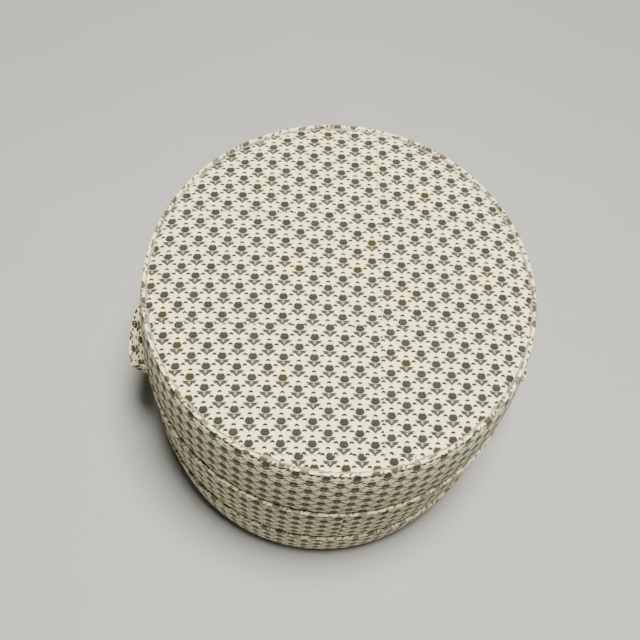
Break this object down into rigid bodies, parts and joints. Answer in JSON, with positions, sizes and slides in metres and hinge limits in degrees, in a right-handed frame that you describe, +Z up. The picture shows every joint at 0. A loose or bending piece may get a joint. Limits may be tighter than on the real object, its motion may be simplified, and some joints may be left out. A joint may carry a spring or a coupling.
{
  "type": "hat box",
  "caption": "Round padded hat box covered in printed cotton, with piped seams, a deep lift-off lid over a neck, and two strap handles that swing.",
  "frame": {"origin": "middle of the underside, on the box's axis", "axes": "+Z up along the box's axis, +X to the right-hand handle, -Y to the front"},
  "size_m": [0.4428, 0.3952, 0.3186],
  "materials": {
    "printed_cotton": "matte plain-weave cotton with a small printed bud",
    "piping_cotton": "bias-cut printed cotton over cord",
    "cotton_cord": "twisted cotton cord",
    "wadding": "polyester wadding",
    "lining_cotton": "plain ivory cotton",
    "greyboard": "raw greyboard",
    "strap_filler": "firm fibre strip"
  },
  "bodies": {
    "base": {"base_floor_board": "greyboard", "base_wall_board": "greyboard", "base_upper_padding": "wadding", "base_upper_cover": "printed_cotton", "base_waist_piping": "piping_cotton", "base_waist_piping_cord": "cotton_cord", "base_lower_padding": "wadding", "base_lower_cover": "printed_cotton", "base_bottom_binding": "piping_cotton", "base_bottom_cover": "lining_cotton", "base_neck_cover": "lining_cotton", "base_wall_lining": "lining_cotton", "base_floor_lining": "lining_cotton", "handle_left_tabs": "printed_cotton", "handle_left_inner_patches": "lining_cotton", "handle_right_tabs": "printed_cotton", "handle_right_inner_patches": "lining_cotton"},
    "lid": {"lid_top_board": "greyboard", "lid_top_padding": "wadding", "lid_top_cover": "printed_cotton", "lid_top_piping": "piping_cotton", "lid_top_piping_cord": "cotton_cord", "lid_skirt_board": "greyboard", "lid_skirt_padding": "wadding", "lid_skirt_cover": "printed_cotton", "lid_rim_piping": "piping_cotton", "lid_rim_piping_cord": "cotton_cord", "lid_top_lining": "lining_cotton", "lid_skirt_lining": "lining_cotton"},
    "handle_left": {"handle_left_strap": "printed_cotton", "handle_left_core": "strap_filler"},
    "handle_right": {"handle_right_strap": "printed_cotton", "handle_right_core": "strap_filler"}
  },
  "joints": [
    {"name": "lid_lift", "type": "slide", "parent": "base", "child": "lid", "axis": [0, 0, 1], "range_m": [0, 0.14]},
    {"name": "handle_left_swing", "type": "hinge", "parent": "base", "child": "handle_left", "pos_m": [-0.1943, 0, 0.178], "axis": [0, 1, 0], "range_deg": [-8, 60]},
    {"name": "handle_right_swing", "type": "hinge", "parent": "base", "child": "handle_right", "pos_m": [0.1943, 0, 0.178], "axis": [0, -1, 0], "range_deg": [-8, 60]}
  ]
}
